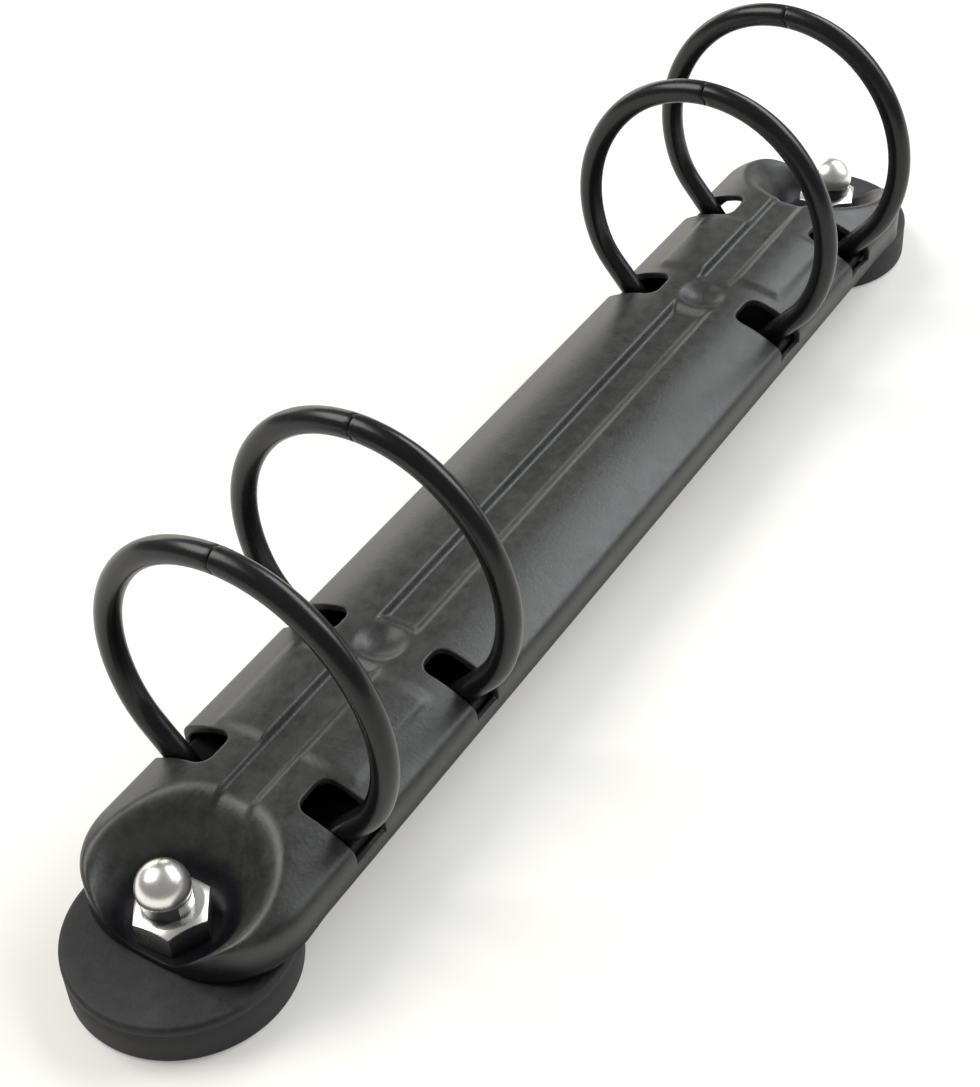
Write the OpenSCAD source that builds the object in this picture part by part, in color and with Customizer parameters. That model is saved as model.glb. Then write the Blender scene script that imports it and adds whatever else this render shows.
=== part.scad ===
// Four-ring binder mechanism on two magnet feet. Millimetres.
// X runs along the mechanism, Z is up, and the feet stand on Z = 0 with the origin midway between them.
// The rings are drawn closed.

/* [Rings] */
// Distance between the two middle rings
mid_pitch = 70; // [56:1:90]
// Distance between the two rings of each pair
pair_pitch = 21; // [18:0.5:28]
// Diameter of the ring wire
wire_d = 2.7; // [2.3:0.1:3]
// Half the width of the oval that the middle of the wire follows
oval_w = 15.65; // [15:0.05:17]
// Half the height of that oval
oval_h = 16.85; // [16:0.05:18.5]
// Gap between the closed tips
tip_gap = 0.2; // [0.15:0.05:0.3]
// Length of the tongue that keys the tips together
tongue_len = 0.8; // [0.5:0.1:1.2]
// Height of the tongue at its root
tongue_h = 1.5; // [1:0.1:1.8]

/* [Cover] */
// Width of the cover
cover_w = 24.3; // [23.5:0.1:27]
// Width of the flat along the top of the cover
crown_w = 6.7; // [6.5:0.1:7.5]
// Height from the underside of the foot pads to the top of the cover
cover_h = 8; // [7.8:0.1:9.5]
// Fall from the top of the cover to where its shoulder would be sharp
shoulder_fall = 3.5; // [3:0.1:4]
// Outer radius of the shoulder
shoulder_r = 1.2; // [1:0.1:1.6]
// Height of the skirt's lower edge above the underside of the pads
skirt_gap = 2; // [1.5:0.1:2.2]
// How much lower the skirt hangs round the ends
end_drop = 1.5; // [0.5:0.1:1.8]
// Thickness of the sheet
sheet_t = 0.7; // [0.5:0.05:0.8]
// Distance from an outer ring to the stud beyond it
foot_reach = 13.7; // [13.5:0.1:17]
// Distance from a stud to the end of the cover
end_reach = 4.3; // [4.1:0.1:6]
// Width of the lip turned in along the skirt
lip_w = 1.55; // [1.2:0.05:1.8]

/* [Pressings] */
// Radius of the flat pad at each end
pad_r = 5.8; // [5.6:0.1:6.2]
// Lean of the dish wall from upright
dish_lean = 38; // [34:1:40]
// Inside radius between the pad and the dish wall
dish_fillet = 1.4; // [0.8:0.1:1.8]
// Depth of the long channel
channel_depth = 1; // [0.6:0.1:1.1]
// Depth of the short channels towards the ends
end_channel_depth = 0.6; // [0.3:0.1:0.8]
// Width of the channel floor
channel_floor = 3.2; // [2.6:0.1:3.6]
// Lean of the channel walls from upright
channel_lean = 40; // [36:1:58]
// Lean of the sloping ends of the channels from upright
channel_end_lean = 60; // [40:1:66]
// Inside radius along the foot of the channel walls
channel_fillet = 0.4; // [0.3:0.1:0.8]
// Depth of the round dimple beside each middle ring
dimple_depth = 0.9; // [0.7:0.1:1.2]
// Radius of the dimple at its rim
dimple_r = 2.8; // [2.5:0.1:3.3]
// Plain strip left between a channel and a dimple
dimple_land = 0.4; // [0.2:0.1:1]
// Height of the raised panel between the rings of a pair
panel_rise = 0.3; // [0.2:0.05:0.5]
// Width of the raised panel
panel_w = 16.4; // [15:0.1:17]
// Distance from a ring to the end of the raised panel
panel_inset = 4; // [3:0.1:5]

/* [Slots] */
// Space on each side of the wire in its slot
slot_side = 1; // [0.5:0.05:1.1]
// Distance from the middle of the cover to the inner end of a slot
slot_start = 5.3; // [4.8:0.1:6]
// Corner radius at the inner end of a slot
slot_corner = 1.6; // [0.8:0.1:1.6]

/* [Rails] */
// Thickness of the two hinge rails
rail_t = 1.2; // [1:0.1:1.3]
// Lean of the rails, lower in the middle, with the rings closed
closed_lean = 9; // [8:0.5:9.5]
// Length of rail beyond an outer ring
rail_end = 2; // [1.8:0.1:2.2]
// Cut across the inner corners of the rails
rail_chamfer = 1.5; // [1:0.1:2]
// Running clearance between the rails and the cover
rail_clear = 0.3; // [0.2:0.05:0.4]
// Half of the gap between the two rails
mid_gap = 0.3; // [0.25:0.05:0.4]
// Distance between the fingers that cross the middle
finger_pitch = 24; // [22:0.5:26]
// Number of fingers each side of the middle one
finger_pairs = 2; // [1:1:2]
// Width of a finger
finger_w = 6; // [4:0.5:7]
// Reach of a finger past the other rail's edge
finger_reach = 0.9; // [0.6:0.1:1]
// Distance from the hinge line to the foot of a ring
foot_in = 2.6; // [2.4:0.1:3]
// Diameter of the tenon that holds a ring in its rail
tenon_d = 1.8; // [1.4:0.1:1.9]
// Radial clearance of the tenon in its hole
tenon_clear = 0.05; // [0.02:0.01:0.1]
// Diameter of the peened end of a tenon
peen_d = 3.2; // [2.6:0.1:3.4]
// Height of the peened end
peen_h = 0.5; // [0.3:0.1:0.6]

/* [Feet] */
// Diameter of a magnet disc
disc_d = 22.6; // [20:0.1:25]
// Height of a magnet disc
disc_h = 5; // [4:0.1:7]
// Radius round the edges of a disc
disc_edge = 0.8; // [0.4:0.1:1.5]
// Depth of the stud in its disc
socket_depth = 2.5; // [1.5:0.1:3]
// Diameter of the stud
stud_d = 4; // [3:0.1:4.2]
// Clearance round the stud in the pad
stud_clear = 0.15; // [0.1:0.05:0.3]
// Clearance round the stud in its nut and its disc
thread_clear = 0.05; // [0.02:0.01:0.1]
// Width of the cap nut across its flats
nut_flats = 7; // [6.5:0.1:8]
// Height of the hexagon
nut_hex_h = 3.2; // [2.5:0.1:4]
// Bevel round the hexagon
nut_bevel = 0.45; // [0.2:0.05:0.6]
// Diameter of the dome
dome_d = 5.2; // [5:0.1:6]
// Height of the straight neck under the dome
dome_neck = 1.2; // [0.8:0.1:2]
// Turn of the near nut
nut_turn_near = 34; // [0:1:59]
// Turn of the far nut
nut_turn_far = 20; // [0:1:59]

/* [Hidden] */
$fn = 64;

satin_black = [0.16, 0.16, 0.16];
wire_black = [0.13, 0.13, 0.15];
rubber_black = [0.2, 0.2, 0.21];
bright_zinc = [0.85, 0.85, 0.85];

// margin that cuts run past a surface
past = 1;
// chords in the small arcs of the sheet
arc_steps = 3;

// places along X
ring_mid_x = mid_pitch / 2;
ring_out_x = ring_mid_x + pair_pitch;
ring_x = [-ring_out_x, -ring_mid_x, ring_mid_x, ring_out_x];
stud_x = ring_out_x + foot_reach;
cover_end_x = stud_x + end_reach;

// heights
pad_top = disc_h + sheet_t;
crown_z = disc_h + cover_h;
skirt_z = disc_h + skirt_gap;
lip_top = skirt_z + sheet_t;

// outline of the cover: a core box with everything else wrapped round it
core_y = crown_w / 2;
wrap = cover_w / 2 - core_y;
core_x = cover_end_x - wrap;
crown_r = (wrap * wrap + shoulder_fall * shoulder_fall) / (2 * shoulder_fall);

// hinge line of each rail, and the foot of each ring on its rail
hinge_y = cover_w / 2 - sheet_t - rail_clear - rail_t / 2;
hinge_z = lip_top + rail_clear + rail_t / 2;
rail_w = hinge_y - mid_gap;
rail_x = ring_out_x + rail_end;
foot = [hinge_y, hinge_z] - foot_in * [cos(closed_lean), sin(closed_lean)]
  + rail_t / 2 * [-sin(closed_lean), cos(closed_lean)];

// turn of the oval down to the foot, and the heights of its centre and its top
foot_turn = acos(foot[0] / oval_w);
ring_z = foot[1] + oval_h * sin(foot_turn);
tip_z = ring_z + oval_h;

// slots
slot_w = wire_d + 2 * slot_side;
slot_z = hinge_z + rail_clear;

// ---- Cover ----

// points along an arc, from angle a to angle b in steps
function arc_points(c, r, a, b) = [
  for (i = [0 : arc_steps]) c + r * [cos(a + (b - a) * i / arc_steps), sin(a + (b - a) * i / arc_steps)]
];

// half section of the wrapped part: x runs out from the core, y is height
module wrap_section(out, r_crown, r_shoulder, z_top, z_low) {
  zc = z_top - r_crown;
  zs = zc + sqrt(pow(r_crown - r_shoulder, 2) - pow(out - r_shoulder, 2));
  edge = arc_points([out - r_shoulder, zs], r_shoulder, 0, atan2(zs - zc, out - r_shoulder));
  last = edge[arc_steps];
  step = last - edge[arc_steps - 1];
  intersection() {
    translate([0, zc]) circle(r = r_crown);
    polygon(concat([[0, z_low], [out, z_low]], edge, [[0, last[1] - last[0] * step[1] / step[0]]]));
  }
}

// the domed form, taken in by an amount, from z_low up and raised by rise
module form(inset, z_low, rise = 0) {
  module section() {
    wrap_section(wrap - inset, crown_r - inset, shoulder_r - inset, crown_z - inset + rise, z_low);
  }
  translate([-core_x, -core_y, z_low]) cube([2 * core_x, 2 * core_y, crown_z - inset + rise - z_low]);
  for (turn = [0, 180]) rotate([0, 0, turn]) {
    translate([-core_x, core_y, 0]) rotate([90, 0, 90]) linear_extrude(2 * core_x) section();
    translate([core_x, core_y, 0]) rotate([90, 0, 0]) linear_extrude(2 * core_y) section();
    translate([core_x, core_y, 0]) rotate_extrude(angle = 90) section();
    translate([core_x, -core_y, 0]) rotate([0, 0, -90]) rotate_extrude(angle = 90) section();
  }
}

// the raised panels of the form
module panels(inset, z_low) {
  intersection() {
    form(inset, z_low, panel_rise);
    for (side = [-1, 1])
      translate([side * (ring_mid_x + ring_out_x) / 2, 0, crown_z])
        cube([pair_pitch - 2 * panel_inset - inset, panel_w - inset, 4 * shoulder_fall], center = true);
  }
}

// section of a pressed pocket with its floor at y = 0; grow gives its other skin
module pocket_section(floor_w, lean, fillet, grow, height) {
  k = tan((90 - lean) / 2);
  w = floor_w / 2 + grow * k;
  r = fillet + grow;
  top = [w + (height + grow) * tan(lean), height];
  difference() {
    polygon([[-w, -grow], [w, -grow], top, [-top[0], top[1]]]);
    for (side = [0, 1]) mirror([side, 0]) difference() {
      polygon([[w - r * k, -grow], [w + past, -grow - past], [w + past, -grow],
        [w + r * k * sin(lean), r * k * cos(lean) - grow], [w - r * k, r - grow]]);
      translate([w - r * k, r - grow]) circle(r = r);
    }
  }
}

// the dish round each stud
module dish(grow) {
  k = tan((90 - dish_lean) / 2);
  r = dish_fillet + grow;
  c = [pad_r + grow * k - r * k, r - grow];
  top = cover_h + past;
  wall = arc_points(c, r, -90, -dish_lean);
  for (side = [-1, 1]) translate([side * stud_x, 0, pad_top]) rotate_extrude()
    polygon(concat([[0, -grow]], wall,
      [[pad_r + grow * k + (top + grow) * tan(dish_lean), top], [0, top]]));
}

// a straight channel centred on mid_x with sloping ends
module channel(mid_x, length, depth, grow) {
  slant = tan(channel_end_lean);
  out = grow / cos(channel_end_lean);
  foot_x = length / 2 + out - (depth + grow + past) * slant;
  rim_x = length / 2 + out + 2 * past * slant;
  translate([mid_x, 0, crown_z - depth]) intersection() {
    translate([-length / 2 - past, 0, 0]) rotate([90, 0, 90]) linear_extrude(length + 2 * past)
      pocket_section(channel_floor, channel_lean, channel_fillet, grow, depth + panel_rise + past);
    translate([0, cover_w / 2, 0]) rotate([90, 0, 0]) linear_extrude(cover_w)
      polygon([[-foot_x, -grow - past], [foot_x, -grow - past], [rim_x, depth + 2 * past],
        [-rim_x, depth + 2 * past]]);
  }
}

// all pressings; grow 0 is the upper skin and grow = sheet_t the lower one
module pressings(grow) {
  dimple_ball = (dimple_r * dimple_r + dimple_depth * dimple_depth) / (2 * dimple_depth);
  end_from = ring_mid_x + dimple_r + dimple_land;
  dish(grow);
  channel(0, 2 * (ring_mid_x - dimple_r - dimple_land), channel_depth, grow);
  for (side = [-1, 1]) {
    channel(side * (end_from + stud_x - pad_r) / 2, stud_x - pad_r - end_from, end_channel_depth, grow);
    translate([side * ring_mid_x, 0, crown_z - dimple_depth + dimple_ball]) sphere(r = dimple_ball + grow);
  }
}

// the space below the skirt's edge, which falls towards the ends
module below_skirt() {
  low = skirt_z - end_drop;
  fall_x = ring_out_x + foot_reach / 2;
  translate([0, cover_w, 0]) rotate([90, 0, 0]) linear_extrude(2 * cover_w)
    polygon([[-cover_end_x - past, 0], [cover_end_x + past, 0], [cover_end_x + past, low],
      [cover_end_x, low], [fall_x, skirt_z], [-fall_x, skirt_z], [-cover_end_x, low],
      [-cover_end_x - past, low]]);
}

// lip that carries the rails along both sides
module lips() {
  for (side = [-1, 1])
    translate([0, side * (cover_w / 2 - sheet_t / 2 - lip_w / 2), skirt_z + sheet_t / 2])
      cube([2 * rail_x, lip_w + sheet_t / 2, sheet_t], center = true);
}

// slot for one ring, running out through the shoulder on the +Y side
module slot() {
  c = slot_w / 2 - slot_corner;
  translate([0, 0, slot_z]) linear_extrude(crown_z) {
    translate([-slot_w / 2, slot_start + slot_corner]) square([slot_w, cover_w / 2]);
    translate([-c, slot_start]) square([2 * c, slot_corner + past]);
    for (side = [-1, 1]) translate([side * c, slot_start + slot_corner]) circle(r = slot_corner);
  }
}

module cover() {
  color(satin_black) difference() {
    union() {
      difference() {
        union() {
          form(0, disc_h);
          panels(0, lip_top);
        }
        difference() {
          union() {
            form(sheet_t, disc_h - past);
            panels(sheet_t, lip_top);
            below_skirt();
          }
          pressings(sheet_t);
        }
        pressings(0);
      }
      lips();
    }
    for (x = ring_x, side = [0, 180]) translate([x, 0, 0]) rotate([0, 0, side]) slot();
    for (side = [-1, 1]) translate([side * stud_x, 0, 0])
      cylinder(d = stud_d + 2 * stud_clear, h = crown_z);
  }
}

// ---- Rails ----

// finger places along X, odd ones on the left rail and even ones on the right
function finger_x(odd) = [
  for (i = [-finger_pairs : finger_pairs]) if (abs(i) % 2 == odd) i * finger_pitch
];

// a rail lying level with its hinge line on X and its inner edge towards +Y
module rail(odd) {
  difference() {
    union() {
      translate([-rail_x, 0, 0]) rotate([90, 0, 90]) linear_extrude(2 * rail_x) {
        circle(d = rail_t);
        translate([0, -rail_t / 2]) square([rail_w, rail_t]);
      }
      for (x = finger_x(odd)) translate([x - finger_w / 2, rail_w - past, -rail_t / 2])
        cube([finger_w, past + 2 * mid_gap + finger_reach, rail_t]);
    }
    for (x = finger_x(1 - odd)) translate([x, rail_w, 0])
      cube([finger_w + 4 * mid_gap, 2 * finger_reach + 2 * mid_gap, 2 * rail_t], center = true);
    for (side = [-1, 1]) translate([side * rail_x, rail_w, 0]) rotate([0, 0, 45])
      cube([sqrt(2) * rail_chamfer, sqrt(2) * rail_chamfer, 2 * rail_t], center = true);
    for (x = ring_x) translate([x, foot_in, 0])
      cylinder(d = tenon_d + 2 * tenon_clear, h = 2 * rail_t, center = true);
  }
}

module rail_right() {
  color(satin_black) translate([0, -hinge_y, hinge_z]) rotate([-closed_lean, 0, 0]) rail(0);
}

module rail_left() {
  color(satin_black) mirror([0, 1, 0]) translate([0, -hinge_y, hinge_z]) rotate([-closed_lean, 0, 0])
    rail(1);
}

// ---- Rings ----

// V across the tips: apex reaching past the middle by reach, root on the tip's own side
module key(reach, root) {
  slope = (tongue_h / 2) / (tongue_len + tip_gap / 2);
  half = slope * (reach + root);
  translate([0, tip_z, -wire_d]) linear_extrude(2 * wire_d)
    polygon([[-reach, 0], [root, -half], [root, half]]);
}

// half ring drawn flat: x runs out from the middle, y is height
module ring_half(tongue) {
  spare = asin(wire_d / oval_w);
  difference() {
    translate([0, ring_z, 0]) scale([1, oval_h / oval_w, 1])
      rotate_extrude(angle = 90 + foot_turn + 2 * spare, start = -foot_turn - spare)
        translate([oval_w, 0]) circle(d = wire_d);
    difference() {
      translate([tip_gap / 2 - 2 * wire_d, tip_z - wire_d, -wire_d])
        cube([2 * wire_d, 2 * wire_d, 2 * wire_d]);
      if (tongue) key(tongue_len, tip_gap);
    }
    if (!tongue) mirror([1, 0, 0]) key(tongue_len + tip_gap, wire_d);
    translate(foot) rotate([0, 0, closed_lean]) {
      translate([-2 * wire_d, -4 * wire_d, -wire_d]) cube([4 * wire_d, 4 * wire_d, 2 * wire_d]);
      translate([-2.5 * wire_d, -2 * wire_d, -wire_d]) cube([2 * wire_d, 4 * wire_d, 2 * wire_d]);
    }
  }
  translate(foot) rotate([0, 0, closed_lean]) rotate([90, 0, 0]) {
    translate([0, 0, -peen_h]) cylinder(d = tenon_d, h = rail_t + 2 * peen_h);
    translate([0, 0, rail_t]) rotate_extrude()
      polygon([[0, 0], [peen_d / 2, 0], [peen_d / 2, peen_h / 2], [peen_d / 2 - peen_h, peen_h], [0, peen_h]]);
  }
}

module ring_half_left(i) {
  color(wire_black) translate([ring_x[i - 1], 0, 0]) rotate([90, 0, 90]) ring_half(true);
}

module ring_half_right(i) {
  color(wire_black) mirror([0, 1, 0]) translate([ring_x[i - 1], 0, 0]) rotate([90, 0, 90])
    ring_half(false);
}

// ---- Feet ----

module magnet_disc(side) {
  color(rubber_black) translate([side * stud_x, 0, 0]) difference() {
    rotate_extrude() {
      square([disc_d / 2 - disc_edge, disc_h]);
      translate([0, disc_edge]) square([disc_d / 2, disc_h - 2 * disc_edge]);
      for (z = [disc_edge, disc_h - disc_edge]) translate([disc_d / 2 - disc_edge, z])
        circle(r = disc_edge);
    }
    translate([0, 0, disc_h - socket_depth])
      cylinder(d = stud_d + 2 * thread_clear, h = socket_depth + past);
  }
}

module stud(side) {
  color(bright_zinc) translate([side * stud_x, 0, disc_h - socket_depth])
    cylinder(d = stud_d, h = socket_depth + sheet_t + nut_hex_h + dome_neck);
}

module cap_nut(side, turn) {
  corner_r = nut_flats / 2 / cos(30);
  top_r = nut_flats / 2 - nut_bevel / 2;
  bevel_slope = nut_bevel / (corner_r - top_r);
  color(bright_zinc) translate([side * stud_x, 0, pad_top]) difference() {
    union() {
      intersection() {
        rotate([0, 0, turn]) cylinder(r = corner_r, h = nut_hex_h, $fn = 6);
        rotate_extrude() polygon([[0, -past], [corner_r + past, -past],
          [corner_r + past, nut_hex_h - bevel_slope * (corner_r + past - top_r)],
          [top_r, nut_hex_h], [0, nut_hex_h]]);
      }
      cylinder(d = dome_d, h = nut_hex_h + dome_neck);
      translate([0, 0, nut_hex_h + dome_neck]) sphere(d = dome_d);
    }
    translate([0, 0, -past]) cylinder(d = stud_d + 2 * thread_clear, h = nut_hex_h + dome_neck + past);
  }
}

cover();
rail_left();
rail_right();
for (i = [1 : 4]) ring_half_left(i);
for (i = [1 : 4]) ring_half_right(i);
magnet_disc(-1);  // magnet_disc_near
magnet_disc(1);  // magnet_disc_far
stud(-1);  // stud_near
stud(1);  // stud_far
cap_nut(-1, nut_turn_near);  // cap_nut_near
cap_nut(1, nut_turn_far);  // cap_nut_far
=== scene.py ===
# %% [markdown]
# # A four-ring binder mechanism on two magnet feet
# The CAD model already holds the true sizes and the moving parts: the pressed cover, two hinge rails, eight half
# rings, two magnet discs, two studs and two cap nuts. This lesson dresses it. It sets up a camera and a soft
# studio, gives each finish its own material, and models again, in finer mesh, the pieces whose edges a lens can see.

# %% Load the frame
import math

import bpy
from mathutils import Matrix, Vector


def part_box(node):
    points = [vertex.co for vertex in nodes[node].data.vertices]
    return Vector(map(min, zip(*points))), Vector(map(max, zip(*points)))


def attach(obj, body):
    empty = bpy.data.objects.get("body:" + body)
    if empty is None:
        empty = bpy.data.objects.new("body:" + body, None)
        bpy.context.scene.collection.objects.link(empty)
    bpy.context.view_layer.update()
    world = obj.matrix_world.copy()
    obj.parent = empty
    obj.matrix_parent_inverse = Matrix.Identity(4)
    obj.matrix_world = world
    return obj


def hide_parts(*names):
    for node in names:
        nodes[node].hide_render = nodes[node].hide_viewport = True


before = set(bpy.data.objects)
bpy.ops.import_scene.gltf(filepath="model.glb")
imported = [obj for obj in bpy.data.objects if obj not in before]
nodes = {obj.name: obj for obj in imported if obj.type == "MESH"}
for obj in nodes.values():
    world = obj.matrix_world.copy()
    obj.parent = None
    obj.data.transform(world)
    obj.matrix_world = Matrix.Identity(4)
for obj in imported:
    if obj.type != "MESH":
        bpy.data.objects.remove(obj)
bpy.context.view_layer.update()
MM = 0.001

# %% [markdown]
# ## Camera
# The mechanism is small, so a short telephoto lens looks down on it from close by. A camera is easiest to place by
# the direction it looks from: an azimuth and an elevation about a point on the object, then a small roll, and a
# slide to the side and upwards that frames the whole length. The matrix is built from those numbers directly, so
# nothing depends on a tracking constraint.

# %% Camera
def look_matrix(azimuth, elevation, roll, target, slide, distance):
    """World matrix of a camera that looks at target from azimuth and elevation, in degrees."""
    az, el, ro = (math.radians(v) for v in (azimuth, elevation, roll))
    back = Vector((math.sin(az) * math.cos(el), -math.cos(az) * math.cos(el), math.sin(el)))
    right = Vector((math.cos(az), math.sin(az), 0.0))
    up = back.cross(right)
    side = right * math.cos(ro) + up * math.sin(ro)
    top = up * math.cos(ro) - right * math.sin(ro)
    place = target + side * slide[0] + top * slide[1] + back * distance
    matrix = Matrix((side, top, back)).transposed().to_4x4()
    matrix.translation = place
    return matrix


camera_data = bpy.data.cameras.new("studio_camera")
camera_data.lens = 67.1
camera_data.sensor_width = 36.0
camera_data.clip_start = 0.01
camera = bpy.data.objects.new("studio_camera", camera_data)
bpy.context.scene.collection.objects.link(camera)
ring_middle = Vector((0.0, 0.0, 23.4 * MM))
camera.matrix_world = look_matrix(azimuth=-55.6, elevation=41.14, roll=-3.63, target=ring_middle,
                                  slide=(-7.1 * MM, -18.25 * MM), distance=219.65 * MM)
bpy.context.scene.camera = camera
print("camera stands", round((camera.location - ring_middle).length / MM), "mm from the rings")

# %% [markdown]
# ## Studio
# Black satin paint shows what is around it more than its own colour, so the room matters. A pale table reflects
# into the lower slopes. Four windows of light stand round it: a low one at the back, one high on the left, a wide
# cool one high on the right, and a small one below that. The world fills the rest evenly. The table takes the soft
# shadow. For camera and mirror rays it also glows a little, which lifts the background to white without putting
# more light on the object.

# %% Table and backdrop
daylight, fill_strength = (1.0, 0.985, 0.95, 1.0), 0.26
bpy.ops.object.select_all(action="DESELECT")
bpy.ops.mesh.primitive_plane_add(size=6.0, location=(0.0, 0.0, 0.0))
table = bpy.context.object
table.name = "table"


def new_material(name):
    """An empty node material: (material, nodes, links, shader)."""
    material = bpy.data.materials.new(name)
    material.use_nodes = True
    tree = material.node_tree
    return material, tree.nodes, tree.links, tree.nodes["Principled BSDF"]


table_white, tn, tl, table_shader = new_material("table_white")
table_shader.inputs["Base Color"].default_value = (0.74, 0.725, 0.695, 1.0)
table_shader.inputs["Roughness"].default_value = 0.75
path = tn.new("ShaderNodeLightPath")
seen = tn.new("ShaderNodeMath")
seen.operation = "MAXIMUM"
tl.new(path.outputs["Is Camera Ray"], seen.inputs[0])
tl.new(path.outputs["Is Glossy Ray"], seen.inputs[1])
seen_all = tn.new("ShaderNodeMath")
seen_all.operation = "MAXIMUM"
tl.new(seen.outputs[0], seen_all.inputs[0])
tl.new(path.outputs["Is Transmission Ray"], seen_all.inputs[1])
glow = tn.new("ShaderNodeEmission")
glow.inputs["Color"].default_value = daylight
glow_amount = tn.new("ShaderNodeMath")
glow_amount.operation = "MULTIPLY"
glow_amount.inputs[1].default_value = fill_strength
tl.new(seen_all.outputs[0], glow_amount.inputs[0])
tl.new(glow_amount.outputs[0], glow.inputs["Strength"])
both = tn.new("ShaderNodeAddShader")
tl.new(table_shader.outputs[0], both.inputs[0])
tl.new(glow.outputs[0], both.inputs[1])
tl.new(both.outputs[0], tn["Material Output"].inputs["Surface"])
table.data.materials.append(table_white)

world = bpy.data.worlds.new("studio_world")
bpy.context.scene.world = world
world.use_nodes = True
world.node_tree.nodes["Background"].inputs["Color"].default_value = daylight
world.node_tree.nodes["Background"].inputs["Strength"].default_value = fill_strength
bpy.context.scene.view_settings.view_transform = "Standard"
print("table and world ready")


# %% Lamps
def window(name, place, size, watts, colour):
    """A rectangular area lamp at place, in metres, that faces the middle of the object."""
    data = bpy.data.lights.new(name, "AREA")
    data.shape = "RECTANGLE"
    data.size, data.size_y = size
    data.energy = watts
    data.color = colour
    lamp = bpy.data.objects.new(name, data)
    bpy.context.scene.collection.objects.link(lamp)
    lamp.location = place
    lamp.rotation_euler = (Vector((0.0, 0.0, 0.01)) - Vector(place)).to_track_quat("-Z", "Y").to_euler()


window("window_back", (0.45, 0.66, 0.17), (0.7, 0.24), 1.3, (1.0, 0.97, 0.9))
window("window_left", (-0.15, 0.46, 0.64), (0.5, 0.5), 4.4, (1.0, 0.99, 0.96))
window("window_right", (0.58, -0.24, 0.59), (0.8, 0.36), 5.2, (0.93, 0.97, 1.0))
window("window_low", (0.53, -0.54, 0.39), (0.35, 0.3), 0.95, (0.93, 0.97, 1.0))
print("four windows of light")

# %% [markdown]
# ## Finishes
# Three blacks meet here: satin paint on pressed steel, glossier lacquer on wire, and dull rubber. What tells them
# apart is roughness and the fine relief of the surface. The same two effects serve all of them, so each is a
# shader node group: one gives a fine relief, the other lets colour and roughness drift a little.

# %% Group: fine relief
def new_group(name, inputs, outputs):
    """A shader node group with named sockets: (group, nodes, links, input node, output node)."""
    group = bpy.data.node_groups.new(name, "ShaderNodeTree")
    for socket, kind, value in inputs:
        made = group.interface.new_socket(socket, in_out="INPUT", socket_type=kind)
        if value is not None:
            made.default_value = value
    for socket, kind in outputs:
        group.interface.new_socket(socket, in_out="OUTPUT", socket_type=kind)
    return group, group.nodes, group.links, group.nodes.new("NodeGroupInput"), group.nodes.new("NodeGroupOutput")


relief, gn, gl, g_in, g_out = new_group(
    "fine_relief",
    [("Vector", "NodeSocketVector", None), ("Grain", "NodeSocketFloat", 2500.0), ("Wave", "NodeSocketFloat", 400.0),
     ("Wave share", "NodeSocketFloat", 0.5)],
    [("Height", "NodeSocketFloat")])
grain = gn.new("ShaderNodeTexNoise")
grain.inputs["Detail"].default_value = 2.0
gl.new(g_in.outputs["Vector"], grain.inputs["Vector"])
gl.new(g_in.outputs["Grain"], grain.inputs["Scale"])
wave = gn.new("ShaderNodeTexNoise")
wave.inputs["Detail"].default_value = 1.0
gl.new(g_in.outputs["Vector"], wave.inputs["Vector"])
gl.new(g_in.outputs["Wave"], wave.inputs["Scale"])
mix = gn.new("ShaderNodeMix")
gl.new(g_in.outputs["Wave share"], mix.inputs["Factor"])
gl.new(grain.outputs["Fac"], mix.inputs["A"])
gl.new(wave.outputs["Fac"], mix.inputs["B"])
gl.new(mix.outputs["Result"], g_out.inputs["Height"])
print("group fine_relief:", len(gn), "nodes")

# %% Group: drift of colour and roughness
# A mix node has sockets for every kind of value under the same names, so its colour sockets go by number.
MIX_A, MIX_B, MIX_OUT = 6, 7, 2
drift, gn, gl, g_in, g_out = new_group(
    "paint_drift",
    [("Vector", "NodeSocketVector", None), ("Scale", "NodeSocketFloat", 90.0),
     ("Dark", "NodeSocketColor", (0.02, 0.02, 0.02, 1.0)), ("Light", "NodeSocketColor", (0.03, 0.03, 0.03, 1.0)),
     ("Smooth", "NodeSocketFloat", 0.35), ("Rough", "NodeSocketFloat", 0.5)],
    [("Color", "NodeSocketColor"), ("Roughness", "NodeSocketFloat")])
cloud = gn.new("ShaderNodeTexNoise")
cloud.inputs["Detail"].default_value = 7.0
cloud.inputs["Roughness"].default_value = 0.72
gl.new(g_in.outputs["Vector"], cloud.inputs["Vector"])
gl.new(g_in.outputs["Scale"], cloud.inputs["Scale"])
tone = gn.new("ShaderNodeMix")
tone.data_type = "RGBA"
gl.new(g_in.outputs["Dark"], tone.inputs[MIX_A])
gl.new(g_in.outputs["Light"], tone.inputs[MIX_B])
gl.new(tone.outputs[MIX_OUT], g_out.inputs["Color"])
spread = gn.new("ShaderNodeMapRange")
spread.inputs["From Min"].default_value = 0.32
spread.inputs["From Max"].default_value = 0.68
gl.new(cloud.outputs["Fac"], spread.inputs["Value"])
gl.new(spread.outputs["Result"], tone.inputs["Factor"])
level = gn.new("ShaderNodeMapRange")
gl.new(spread.outputs["Result"], level.inputs["Value"])
gl.new(g_in.outputs["Smooth"], level.inputs["To Min"])
gl.new(g_in.outputs["Rough"], level.inputs["To Max"])
gl.new(level.outputs["Result"], g_out.inputs["Roughness"])
print("group paint_drift:", len(gn), "nodes")


# %% A coated surface from the two groups
painted_shade_fade, painted_shade_shine = 0.8, 0.3     # half height of the fade into painted shade, in mm, and the share of shine the painted shade leaves


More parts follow.
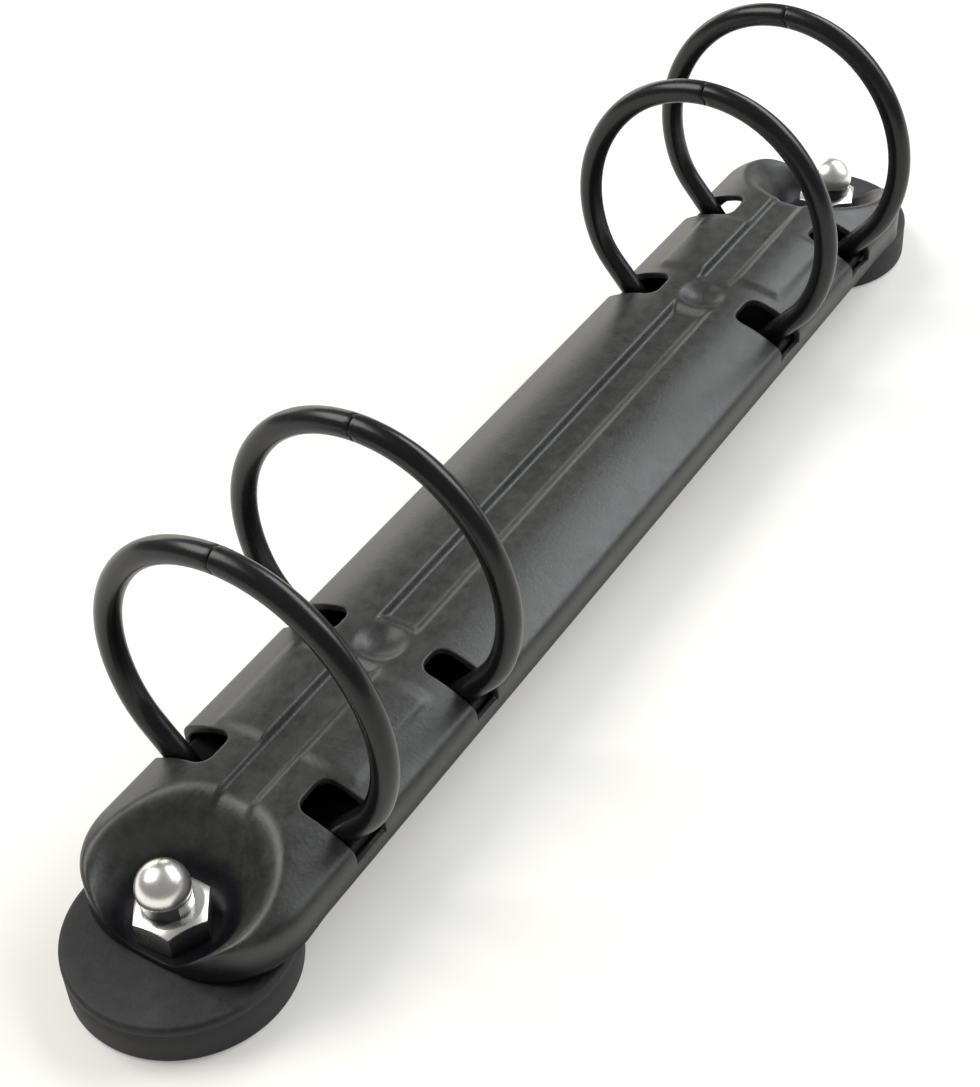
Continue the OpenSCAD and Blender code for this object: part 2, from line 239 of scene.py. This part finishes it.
def coated(name, dark, light, smooth, rough, depth, round_mm, grain=2500.0, drift_scale=90.0, specular=0.5,
           metallic=0.0, painted_shade_below=None, painted_shade_colour=(0.002, 0.0015, 0.0025)):
    """A material with drifting colour and roughness and a fine relief. depth is the height of the relief and
    round_mm softens the edges, both in mm. Below the painted-shade height, in mm, the colour darkens and the shine
    dims as painted shade."""
    material, n, l, shader = new_material(name)
    place = n.new("ShaderNodeTexCoord")
    paint = n.new("ShaderNodeGroup")
    paint.node_tree = drift
    paint.inputs["Scale"].default_value = drift_scale
    paint.inputs["Dark"].default_value = (*dark, 1.0)
    paint.inputs["Light"].default_value = (*light, 1.0)
    paint.inputs["Smooth"].default_value = smooth
    paint.inputs["Rough"].default_value = rough
    skin = n.new("ShaderNodeGroup")
    skin.node_tree = relief
    skin.inputs["Grain"].default_value = grain
    bump = n.new("ShaderNodeBump")
    bump.inputs["Distance"].default_value = depth * MM
    shader.inputs["Specular IOR Level"].default_value = specular
    shader.inputs["Metallic"].default_value = metallic
    l.new(place.outputs["Object"], paint.inputs["Vector"])
    l.new(place.outputs["Object"], skin.inputs["Vector"])
    l.new(paint.outputs["Roughness"], shader.inputs["Roughness"])
    l.new(skin.outputs["Height"], bump.inputs["Height"])
    if painted_shade_below is None:
        l.new(paint.outputs["Color"], shader.inputs["Base Color"])
    else:
        # Painted shade: below the given height the base colour fades to a near-black and the specular level drops.
        split = n.new("ShaderNodeSeparateXYZ")
        height = n.new("ShaderNodeMapRange")
        height.inputs["From Min"].default_value = (painted_shade_below - painted_shade_fade) * MM
        height.inputs["From Max"].default_value = (painted_shade_below + painted_shade_fade) * MM
        painted_shade_mix = n.new("ShaderNodeMix")
        painted_shade_mix.data_type = "RGBA"
        painted_shade_mix.inputs[MIX_A].default_value = (*painted_shade_colour, 1.0)
        l.new(place.outputs["Object"], split.inputs[0])
        l.new(split.outputs["Z"], height.inputs["Value"])
        l.new(height.outputs["Result"], painted_shade_mix.inputs["Factor"])
        l.new(paint.outputs["Color"], painted_shade_mix.inputs[MIX_B])
        l.new(painted_shade_mix.outputs[MIX_OUT], shader.inputs["Base Color"])
        shine = n.new("ShaderNodeMapRange")
        shine.inputs["To Min"].default_value = specular * painted_shade_shine
        shine.inputs["To Max"].default_value = specular
        l.new(height.outputs["Result"], shine.inputs["Value"])
        l.new(shine.outputs["Result"], shader.inputs["Specular IOR Level"])
    edge = n.new("ShaderNodeBevel")
    edge.samples = 8
    edge.inputs["Radius"].default_value = round_mm * MM
    l.new(edge.outputs["Normal"], bump.inputs["Normal"])
    l.new(bump.outputs["Normal"], shader.inputs["Normal"])
    return material


# sheet_black paints shade on the skirt and in the dish below 7.7 mm; wire_black paints shade on the wire's feet in
# the slots below 10.8 mm.
sheet_black = coated("sheet_black", (0.017, 0.0175, 0.016), (0.046, 0.047, 0.0435), 0.34, 0.45,
                     depth=0.042, round_mm=0.35, drift_scale=620.0, painted_shade_below=7.7, painted_shade_colour=(0.012, 0.011, 0.014))
wire_black = coated("wire_black", (0.004, 0.004, 0.005), (0.009, 0.009, 0.0105), 0.2, 0.3,
                    depth=0.015, round_mm=0.1, specular=0.4, painted_shade_below=10.8)
# The rails take a darker, duller black than the cover's paint, as painted shade for where they sit under the cover
# and in the slots.
rail_shaded_black = coated("rail_shaded_black", (0.003, 0.003, 0.0035), (0.006, 0.006, 0.0065), 0.55, 0.65,
                    depth=0.03, round_mm=0.2, specular=0.2)
rubber_black = coated("rubber_black", (0.013, 0.013, 0.015), (0.04, 0.04, 0.042), 0.52, 0.7,
                      depth=0.06, round_mm=0.2, grain=3000.0, drift_scale=380.0, specular=0.35)
bright_zinc = coated("bright_zinc", (0.86, 0.85, 0.82), (0.96, 0.95, 0.93), 0.25, 0.36,
                     depth=0.004, round_mm=0.12, grain=6000.0, metallic=1.0)
print("five finishes from two groups")

# %% Painted shade on the zinc
# The zinc darkens as painted shade where the mesh carries a shade value: in the neck under the dome and at the foot
# of the flats.
zinc_nodes, zinc_links = bright_zinc.node_tree.nodes, bright_zinc.node_tree.links
zinc_colour = zinc_nodes["Principled BSDF"].inputs["Base Color"]
nut_shade = zinc_nodes.new("ShaderNodeAttribute")
nut_shade.attribute_name = "nut_shade"
nut_shade_mix = zinc_nodes.new("ShaderNodeMix")
nut_shade_mix.data_type = "RGBA"
nut_shade_mix.inputs[MIX_B].default_value = (0.09, 0.09, 0.095, 1.0)
zinc_links.new(zinc_colour.links[0].from_socket, nut_shade_mix.inputs[MIX_A])
zinc_links.new(nut_shade.outputs["Fac"], nut_shade_mix.inputs["Factor"])
zinc_links.new(nut_shade_mix.outputs[MIX_OUT], zinc_colour)
print("bright_zinc darkens where the mesh carries soot")

# %% Put the finishes on the CAD nodes
finishes = {"rail": rail_shaded_black, "cover": sheet_black, "ring": wire_black, "magnet": rubber_black,
            "stud": bright_zinc, "cap": bright_zinc}
for name in nodes:
    for slot in nodes[name].material_slots:
        slot.material = finishes[name.split("_")[0]]
print("finished nodes:", len(nodes))

# %% [markdown]
# ## The cover
# The cover is one strip of steel, punched and then pressed between two dies. The die leaves no sharp line: each
# rim and each foot of a pressing is a small curve, because the sheet can't fold tighter than its own thickness.
# Those curves catch the light and are what makes the part read as pressed steel. Modelling them with bevels would
# mean beveling lines that run into one another, so this cover is made the way the die makes it. A fine flat mesh
# follows the blank, and each point is lifted to the height of the die there. Where two surfaces of the die meet,
# a smooth minimum or maximum rounds the join.

# %% The die: smooth joins
def low_join(a, b, soft):
    """The lower of a and b, rounded over the width soft where they meet."""
    near = max(soft - abs(a - b), 0.0) / soft
    return min(a, b) - near * near * soft / 4


def high_join(a, b, soft):
    """The higher of a and b, rounded where they meet."""
    return -low_join(-a, -b, soft)


def fade(value, limit, soft):
    """1 well inside limit, 0 well outside, and a smooth step of width soft between."""
    t = min(max((limit - value) / soft + 0.5, 0.0), 1.0)
    return t * t * (3 - 2 * t)


cover_high = Vector(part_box("cover")[1]) / MM
panel_rise, panel_x, panel_half_long, panel_half_wide = 0.3, 45.5, 6.4, 8.3
half_long, half_wide = cover_high.x, cover_high.y
crown_z = cover_high.z - panel_rise
core_y = 3.35
wrap = half_wide - core_y
core_x = half_long - wrap
crown_drop, fold = 2.8, 1.6     # fall of the dome's arc to its edge, and radius of the shoulder
crown_r = (wrap ** 2 + crown_drop ** 2) / (2 * crown_drop)
stud_x, pad_z, sheet_t = 69.7, 5.7, 0.7
ring_x = (-56.0, -35.0, 35.0, 56.0)
channels = ((0.0, 31.8, 1.0), (51.0, 12.9, 0.65))     # middle, half length and depth
wall_left, wall_right = (1.95, 2.2), (1.25, 0.75)     # where each wall of a channel starts, and its slope
dimple_x, dimple_r, dimple_deep = 35.0, 2.7, 0.85
ball = (dimple_r ** 2 + dimple_deep ** 2) / (2 * dimple_deep)
bowl_floor_r, bowl_wall, bowl_foot_soft, bowl_rim_soft = 5.0, math.tan(math.radians(35)), 1.3, 2.2
print("cover:", round(2 * half_long, 1), "x", round(2 * half_wide, 1), "mm, crown at", round(crown_z, 2))


# %% The die: height at a point
def die_height(x, y, dome):
    """Height of the upper skin at a point of the plan, in mm, where the plain dome would be at height dome."""
    ax, ay = abs(x), abs(y)
    z = dome + panel_rise * fade(ay, panel_half_wide, 0.8) * fade(abs(ax - panel_x), panel_half_long, 1.6)
    for middle, half, depth in channels:
        start, slope = wall_left if y > 0 else wall_right
        wall = high_join(0.0, (ay - start) * slope, 0.4)
        end = high_join(0.0, (abs(ax - middle) - half + 1.0) * 0.6, 0.3)
        z = low_join(z, crown_z - depth + high_join(wall, end, 0.3), 0.35)
    off = math.hypot(ax - dimple_x, y)
    if off < ball - 0.1:
        z = low_join(z, crown_z - dimple_deep + ball - math.sqrt(ball * ball - off * off), 0.35)
    from_stud = math.hypot(ax - stud_x, y)
    bowl = pad_z + high_join(0.0, (from_stud - bowl_floor_r) / bowl_wall, bowl_foot_soft)
    return low_join(z, bowl, bowl_rim_soft)


# %% The blank: stations round the core and steps across
def steps(start, stop, size):
    """Evenly spaced values from start to stop, about size apart."""
    count = max(1, round(abs(stop - start) / size))
    return [start + (stop - start) * i / count for i in range(count + 1)]


across = steps(core_y, 2.9, 0.22) + steps(2.9, 1.0, 0.1)[1:] + steps(1.0, 0.0, 0.4)[1:]
across += [-y for y in across[::-1][1:]]
along = (steps(-core_x, -29.0, 0.3) + steps(-29.0, 29.0, 1.6)[1:] + steps(29.0, core_x, 0.3)[1:])
stations = [(x, core_y, 90.0) for x in along]
stations += [(core_x, core_y, a) for a in steps(90, 0, 3)[1:]] + [(core_x, y, 0.0) for y in across[1:]]
stations += [(core_x, -core_y, a) for a in steps(0, -90, 3)[1:]] + [(x, -core_y, -90.0) for x in along[::-1][1:]]
stations += [(-core_x, -core_y, a) for a in steps(-90, -180, 3)[1:]]
stations += [(-core_x, y, 180.0) for y in across[::-1][1:]] + [(-core_x, core_y, a) for a in steps(180, 90, 3)[1:]]
turn = math.degrees(math.asin((wrap - fold) / (crown_r - fold)))
shoulder_z = crown_z - crown_r + math.sqrt((crown_r - fold) ** 2 - (wrap - fold) ** 2)
profile = [(crown_r * math.sin(math.radians(a)), crown_z - crown_r + crown_r * math.cos(math.radians(a)))
           for a in steps(0, turn, 1.3)]
profile += [(wrap - fold + fold * math.sin(math.radians(a)), shoulder_z + fold * math.cos(math.radians(a)))
            for a in steps(turn, 90, 7)[1:]]
skirt_z, end_drop, drop_from, lip_in, lip_end = 7.0, 1.5, 62.85, 10.07, 58.0
print(len(stations), "stations,", len(profile), "steps across the dome")


# %% Press the blank: outer skin, skirt, lip and inner skin
def skirt_edge(x):
    """Height of the skirt's lower edge, which falls towards the ends."""
    return skirt_z - end_drop * min(max((abs(x) - drop_from) / (half_long - drop_from), 0.0), 1.0)


points, faces = [], []
share = (wrap - sheet_t) / wrap
for x, y, angle in stations:
    out = (math.cos(math.radians(angle)), math.sin(math.radians(angle)))
    outer = [(x + out[0] * d, y + out[1] * d, z) for d, z in profile]
    outer = [(px, py, die_height(px, py, z)) for px, py, z in outer]
    inner = [(x + out[0] * d * share, y + out[1] * d * share, z) for d, z in profile]
    inner = [(px, py, die_height(px, py, z) - sheet_t) for px, py, z in inner]
    top = outer[-1][2]
    low = min(skirt_edge(x + out[0] * wrap), top - sheet_t)
    inner_low = min(low + sheet_t, inner[-1][2])
    lip = half_wide - lip_in if abs(angle) == 90.0 and abs(x) < lip_end else sheet_t
    skirt = [(wrap, top + (low - top) * i / 5) for i in range(1, 6)]
    skirt += [(wrap - lip, low), (wrap - lip, inner_low), (wrap - sheet_t, inner_low)]
    points += outer + [(x + out[0] * d, y + out[1] * d, z) for d, z in skirt] + inner[::-1]
rows = len(points) // len(stations)
for i in range(len(stations)):
    a, b = i * rows, (i + 1) % len(stations) * rows
    faces += [(a + j, a + j + 1, b + j + 1, b + j) for j in range(rows - 1)]
wide = len(across)
for depth in (0.0, sheet_t):
    core_start = len(points)
    for x in along:
        points += [(x, y, die_height(x, y, crown_z) - depth) for y in across]
    for i in range(len(along) - 1):
        a = core_start + i * wide
        faces += [(a + j, a + j + 1, a + wide + j + 1, a + wide + j) for j in range(wide - 1)]
print(len(points), "points and", len(faces), "faces on the blank")


# %% Helpers for pieces: select one, finish one
def alone(obj):
    """Makes obj the only selected and active object."""
    bpy.ops.object.select_all(action="DESELECT")
    obj.select_set(True)
    bpy.context.view_layer.objects.active = obj


def mesh_piece(name, points, faces):
    """A mesh object from points in mm."""
    mesh = bpy.data.meshes.new(name)
    mesh.from_pydata([(x * MM, y * MM, z * MM) for x, y, z in points], [], faces)
    obj = bpy.data.objects.new(name, mesh)
    bpy.context.scene.collection.objects.link(obj)
    return obj


def modify(obj, kind, **settings):
    """Adds a modifier with its settings and applies it."""
    alone(obj)
    made = obj.modifiers.new(kind.lower(), kind)
    for key, value in settings.items():
        setattr(made, key, value)
    bpy.ops.object.modifier_apply(modifier=made.name)


def clean(obj, distance=0.01):
    """Merges doubled points and turns the faces outwards."""
    alone(obj)
    bpy.ops.object.mode_set(mode="EDIT")
    bpy.ops.mesh.select_all(action="SELECT")
    bpy.ops.mesh.remove_doubles(threshold=distance * MM)
    bpy.ops.mesh.dissolve_degenerate(threshold=0.001 * MM)
    bpy.ops.mesh.normals_make_consistent(inside=False)
    bpy.ops.object.mode_set(mode="OBJECT")


def place_piece(obj, material, body, slot, *stands_for):
    """Applies the place, gives the material, and says what the piece rides on and stands for."""
    alone(obj)
    bpy.ops.object.transform_apply(location=True, rotation=True, scale=True)
    obj.data.materials.clear()
    obj.data.materials.append(material)
    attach(obj, body)
    if stands_for:
        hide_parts(*stands_for)
    tris = sum(len(p.vertices) - 2 for p in obj.data.polygons)
    print(obj.name, "-", tris, "triangles")


# %% The pressed sheet
cover = mesh_piece("pressed_cover", points, faces)
clean(cover)
print("cover shell:", len(cover.data.polygons), "faces")

# %% [markdown]
# The eight slots for the rings and the two holes for the studs are punched through. A punch is a plain prism, so
# each is made as a solid of its own, and one boolean takes them all out. A slot starts with two round corners on
# the crown and runs out through the shoulder, and leaves a strip of skirt below it. The slots sit a little towards
# the middle of the cover from their rings, so a wire comes up against the outer edge of its slot.

# %% Punches
cutters = []
slots = ((-55.05, 2.4), (-34.5, 1.95), (34.6, 2.5), (55.05, 2.55))     # middle and half width
slot_from, slot_round, slot_low, slot_high, stud_hole_r = 5.3, 1.5, 8.5, 16.0, 2.15
for x, slot_half in slots:
    for way in (1, -1):
        outline = [(slot_half - slot_round + slot_round * math.sin(math.radians(a)),
                    slot_from + slot_round - slot_round * math.cos(math.radians(a))) for a in steps(0, 90, 15)]
        outline = outline + [(slot_half, half_wide + 2), (-slot_half, half_wide + 2)] + [
            (-px, py) for px, py in outline[::-1]]
        ring = [(x + px, way * py) for px, py in outline]
        n = len(ring)
        body = [(px, py, slot_low) for px, py in ring] + [(px, py, slot_high) for px, py in ring]
        sides = [(i, (i + 1) % n, n + (i + 1) % n, n + i) for i in range(n)]
        cutters.append(mesh_piece("punch", body, sides + [tuple(range(n))[::-1], tuple(range(n, 2 * n))]))
for x in (-stud_x, stud_x):
    alone(cutters[0])
    bpy.ops.mesh.primitive_cylinder_add(vertices=64, radius=stud_hole_r * MM, depth=6 * MM,
                                        location=(x * MM, 0, pad_z * MM))
    cutters.append(bpy.context.object)
bpy.ops.object.select_all(action="DESELECT")
for cutter in cutters:
    cutter.select_set(True)
bpy.context.view_layer.objects.active = cutters[0]
bpy.ops.object.join()
punches = bpy.context.object
clean(punches, 0.0001)
print("punches:", len(punches.data.polygons), "faces")

# %% Punch the cover
modify(cover, "BOOLEAN", operation="DIFFERENCE", object=punches, solver="EXACT")
bpy.data.objects.remove(punches)
alone(cover)
bpy.ops.object.shade_smooth_by_angle(angle=math.radians(38))
place_piece(cover, sheet_black, "base", "sheet_black", "cover")

# %% [markdown]
# ## The half rings
# Each half ring is one length of round wire, bent on a former: a wide arc over the top, a second down the side, a
# tighter one below, and a straight foot that enters the slot. A circle spun along those arcs gives exactly that,
# with even edges and no pinching. The tips are ground to a step, so that the two halves catch and can't slide past
# each other; a stepped punch cuts both faces of the step with a fine gap between them.

# %% One wire, bent
def spin_about(centre, degrees, step_count):
    """Spins the selected loop about a centre (y, z) in mm; the new end stays selected."""
    bpy.ops.mesh.spin(steps=step_count, angle=math.radians(degrees), axis=(1, 0, 0), use_auto_merge=False,
                      center=(0, centre[0] * MM, centre[1] * MM))


def bent_wire(name, way):
    """A half ring at x = 0, way +1 on the left side and -1 on the right."""
    bpy.ops.object.select_all(action="DESELECT")
    bpy.ops.mesh.primitive_circle_add(vertices=40, radius=wire_r * MM, location=(0, -way * MM, tip_top * MM),
                                      rotation=(math.radians(90), 0, 0))
    wire = bpy.context.object
    wire.name = name
    bpy.ops.object.transform_apply(location=True, rotation=True, scale=True)
    bpy.ops.object.mode_set(mode="EDIT")
    bpy.ops.mesh.select_all(action="SELECT")
    bpy.ops.mesh.edge_face_add()
    bpy.ops.mesh.extrude_region_move(TRANSFORM_OT_translate={"value": (0, way * MM, 0)})
    for (y, z), degrees, count in arcs:
        spin_about((way * y, z), way * degrees, count)
    for _ in range(2):
        bpy.ops.mesh.extrude_region_move(
            TRANSFORM_OT_translate={"value": (0, -way * foot_step[0] * MM, -foot_step[1] * MM)})
    bpy.ops.object.mode_set(mode="OBJECT")
    clean(wire, 0.001)
    return wire


wire_r, row_z, tip_top, foot_step = 1.35, 23.4, 40.198, (2.006, 2.39)
arcs = (((0.0, row_z + 1.928), 46.0, 14), ((-2.0, row_z), 64.0, 20), ((3.31, row_z - 1.94), 20.0, 6))
halves = {1: bent_wire("left_wire", 1), -1: bent_wire("right_wire", -1)}
for way, wire in halves.items():
    low, high = (Vector([f(v.co[i] for v in wire.data.vertices) for i in range(3)]) / MM for f in (min, max))
    print(wire.name, "spans y", round(low.y, 2), "to", round(high.y, 2), "z", round(low.z, 2), "to", round(high.z, 2))

# %% Grind the stepped tips
tip_gap, step_high, step_low, step_half, reach = 0.04, 0.24, -0.2, 0.12, 3.0
for way, wire in halves.items():
    high, low = step_high + tip_gap * way, step_low + tip_gap * way
    path = [(high, reach), (high, step_half), (low, -step_half), (low, -reach),
            (-way * reach, -reach), (-way * reach, reach)]
    n = len(path)
    body = [(x, y, tip_top + z) for x in (-reach, reach) for y, z in path]
    cutter = mesh_piece("step_cutter", body, [(i, (i + 1) % n, n + (i + 1) % n, n + i) for i in range(n)]
                        + [tuple(range(n))[::-1], tuple(range(n, 2 * n))])
    clean(cutter)
    modify(wire, "BOOLEAN", operation="DIFFERENCE", object=cutter, solver="EXACT")
    modify(wire, "BEVEL", width=0.11 * MM, segments=2, limit_method="ANGLE", angle_limit=math.radians(50))
    bpy.data.objects.remove(cutter)
    print(wire.name, "has", len(wire.data.polygons), "faces")

# %% Four copies of each half
for number, x in enumerate(ring_x, start=1):
    for way, side in ((1, "left"), (-1, "right")):
        alone(halves[way])
        bpy.ops.object.duplicate()
        wire = bpy.context.object
        wire.name = "wire_" + side + "_" + str(number)
        wire.location.x = x * MM
        alone(wire)
        bpy.ops.object.shade_smooth_by_angle(angle=math.radians(35))
        place_piece(wire, wire_black, side + "_rings", "wire_black", "ring_half_" + side + "_" + str(number))
for wire in halves.values():
    bpy.data.objects.remove(wire)

# %% [markdown]
# ## The cap nuts
# A cap nut is a hexagon with its top corners turned down, a short neck and a dome. It is the only bright thing on
# the part, so its edges are seen most. The hexagon is a six-sided cylinder with bevelled edges; a shallow cone
# takes the corners off, as a lathe does. The neck and dome are one turned shape set on top. Shade is painted into
# the neck and at the foot of the flats: the mesh carries a shade value there, and the zinc darkens by it.

# %% Cap nuts
def turned(name, outline, count):
    """A turned solid about the Z axis from (radius, height) points in mm, first and last on the axis."""
    points = [(r * math.cos(2 * math.pi * i / count), r * math.sin(2 * math.pi * i / count), z)
              for i in range(count) for r, z in outline]
    rows = len(outline)
    faces = [(i * rows + j, (i + 1) % count * rows + j, (i + 1) % count * rows + j + 1, i * rows + j + 1)
             for i in range(count) for j in range(rows - 1)]
    made = mesh_piece(name, points, faces)
    clean(made, 0.001)
    return made


nut_flats, hex_h, dome_r, neck_r, sunk = 6.9, 3.1, 2.65, 2.3, 1.0
corner_r = nut_flats / 2 / math.cos(math.radians(30))
cone_profile = [(0, -1), (corner_r + 1, -1), (corner_r + 1, hex_h - 0.98), (3.25, hex_h - 0.06),
                (3.0, hex_h + 0.01), (0, hex_h + 0.01)]
for side, x, angle, neck_h, seat, lean in (("near", -stud_x, 34.0, 2.35, (-0.1, 0.15), (-0.22, 0.32)),
                                           ("far", stud_x, 20.0, 2.0, (0.2, -0.6), (0.1, -0.4))):
    bpy.ops.object.select_all(action="DESELECT")
    bpy.ops.mesh.primitive_cylinder_add(vertices=6, radius=corner_r * MM, depth=hex_h * MM,
                                        location=(0, 0, hex_h / 2 * MM), rotation=(0, 0, math.radians(angle - 90)))
    nut = bpy.context.object
    nut.name = "dome_nut_" + side
    bpy.ops.object.transform_apply(location=True, rotation=True, scale=True)
    modify(nut, "BEVEL", width=0.1 * MM, segments=3, limit_method="ANGLE", angle_limit=math.radians(30))
    cone = turned("lathe_cone", cone_profile, 72)
    modify(nut, "BOOLEAN", operation="INTERSECT", object=cone, solver="EXACT")
    bpy.data.objects.remove(cone)
    neck_top = hex_h + neck_h
    dome = [(0, hex_h - sunk), (neck_r, hex_h - sunk), (neck_r, neck_top - 0.5), (neck_r + 0.1, neck_top - 0.3)]
    dome += [(dome_r * math.cos(math.radians(a)), neck_top + dome_r * math.sin(math.radians(a)))
             for a in steps(-8, 90, 5)]
    cap = turned("cap", dome, 72)
    cap.location = (lean[0] * MM, lean[1] * MM, 0)
    modify(nut, "BOOLEAN", operation="UNION", object=cap, solver="EXACT")
    bpy.data.objects.remove(cap)
    # The shade value is painted shade: full in the neck, 0.8 on the lowest millimetre of the flats.
    nut_shade = nut.data.attributes.new("nut_shade", "FLOAT", "POINT")
    for point, mark in zip(nut.data.vertices, nut_shade.data):
        off = math.hypot(point.co.x - lean[0] * MM, point.co.y - lean[1] * MM) / MM
        height = point.co.z / MM
        neck = height > hex_h - 0.03 and off < neck_r + 0.06 and height < neck_top - 0.25
        mark.value = 1.0 if neck else 0.8 if height < 1.0 else 0.0
    nut.location = ((x + seat[0]) * MM, seat[1] * MM, pad_z * MM)
    alone(nut)
    bpy.ops.object.shade_smooth_by_angle(angle=math.radians(32))
    place_piece(nut, bright_zinc, "base", "bright_zinc", "cap_nut_" + side)

# %% [markdown]
# ## The magnet discs
# Under each stud sits a magnet in a moulded rubber shell. The shell's edges are round, and a fine parting groove
# runs round it about a millimetre below the top, where the upper and lower half of the mould met. It is one turned
# outline with a blind hole for the stud, and it stands on its own flat underside.

# %% Magnet discs
disc_r, disc_h, edge, hole_deep, groove_deep = 11.3, 5.0, 0.55, 3, 0.26
outline = [(0, disc_h - hole_deep), (stud_hole_r, disc_h - hole_deep), (stud_hole_r, disc_h)]
outline += [(r, disc_h) for r in (5.0, 8.0, 10.0)]
outline += [(disc_r - edge + edge * math.sin(math.radians(a)), disc_h - edge + edge * math.cos(math.radians(a)))
            for a in steps(0, 90, 15)]
outline += [(disc_r, 4.05), (disc_r - groove_deep, 3.93), (disc_r - groove_deep, 3.85), (disc_r, 3.1), (disc_r, 2.0)]
outline += [(disc_r - edge + edge * math.cos(math.radians(a)), edge - edge * math.sin(math.radians(a)))
            for a in steps(0, 90, 15)]
outline += [(6.0, 0.0), (0, 0)]
for side, x in (("near", -stud_x), ("far", stud_x)):
    disc = turned("rubber_disc_" + side, outline, 144)
    disc.location.x = x * MM
    alone(disc)
    bpy.ops.object.shade_smooth_by_angle(angle=math.radians(50))
    place_piece(disc, rubber_black, "base", "rubber_black", "magnet_disc_" + side)
